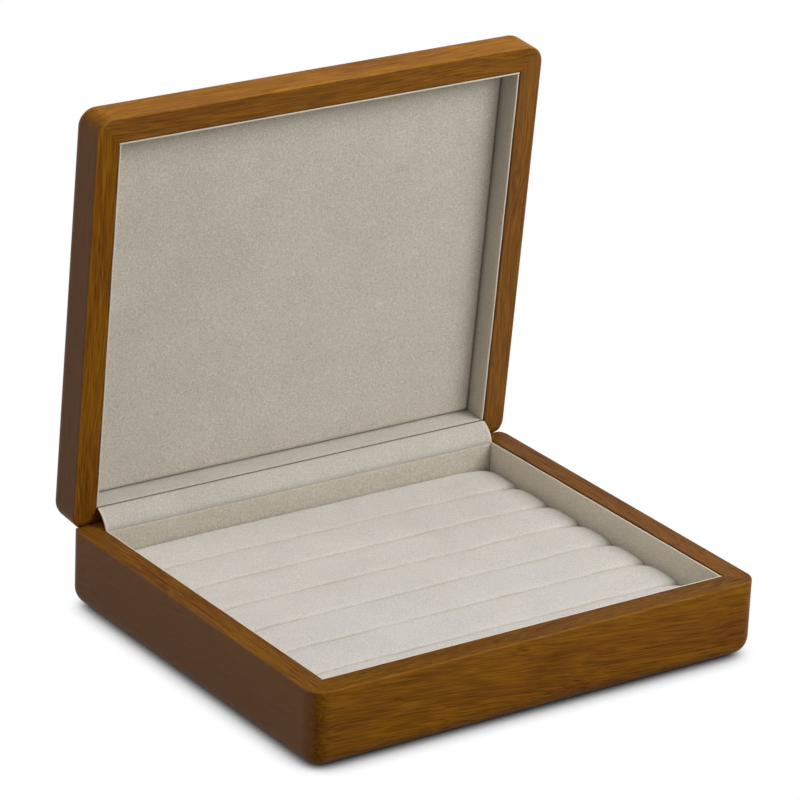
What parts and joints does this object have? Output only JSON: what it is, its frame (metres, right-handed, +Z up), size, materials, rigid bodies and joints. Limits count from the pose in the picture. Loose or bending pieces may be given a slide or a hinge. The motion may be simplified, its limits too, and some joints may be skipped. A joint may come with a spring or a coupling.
{
  "type": "ring display box",
  "caption": "Wooden ring display box with a hinged lid, suede lining and padded ring rolls, standing open against the lid's stop.",
  "frame": {"origin": "centre of the underside, on the surface that the box stands on", "axes": "+X to the right, +Y from the front to the hinge side, +Z up"},
  "size_m": [0.24, 0.2188, 0.2383],
  "materials": {
    "base_wood": "brown stained open-grain wood, satin lacquer",
    "lid_wood": "brown stained open-grain wood, satin lacquer",
    "lining_suede": "greige microsuede over thin board",
    "pad_suede": "greige microsuede over thin foam",
    "roll_suede": "pale beige microsuede over foam",
    "panel_board": "raw fibre board",
    "underside_felt": "dark brown felt",
    "brass": "satin brass"
  },
  "bodies": {
    "base": {"base_front_wall": "base_wood", "base_back_wall": "base_wood", "base_left_wall": "base_wood", "base_right_wall": "base_wood", "base_bottom_panel": "panel_board", "underside_felt": "underside_felt", "base_front_lining": "lining_suede", "base_back_lining": "lining_suede", "base_left_lining": "lining_suede", "base_right_lining": "lining_suede", "roll_board": "panel_board", "ring_roll_1": "roll_suede", "ring_roll_2": "roll_suede", "ring_roll_3": "roll_suede", "ring_roll_4": "roll_suede", "ring_roll_5": "roll_suede", "ring_roll_6": "roll_suede", "ring_roll_7": "roll_suede", "left_hinge_base_leaf": "brass", "right_hinge_base_leaf": "brass", "left_hinge_pin": "brass", "right_hinge_pin": "brass", "base_hinge_screws": "brass", "hinge_cover": "lining_suede"},
    "lid": {"lid_front_rail": "lid_wood", "lid_back_rail": "lid_wood", "lid_left_rail": "lid_wood", "lid_right_rail": "lid_wood", "lid_top_panel": "lid_wood", "lid_front_lining": "lining_suede", "lid_back_lining": "lining_suede", "lid_left_lining": "lining_suede", "lid_right_lining": "lining_suede", "lid_backing_board": "panel_board", "lid_pad": "pad_suede", "left_hinge_lid_leaf": "brass", "right_hinge_lid_leaf": "brass", "lid_hinge_screws": "brass"}
  },
  "joints": [
    {"name": "lid_hinge", "type": "hinge", "parent": "base", "child": "lid", "pos_m": [0, 0.09785, 0.03875], "axis": [1, 0, 0], "range_deg": [0, 85.4], "deforming": ["hinge_cover"]}
  ]
}
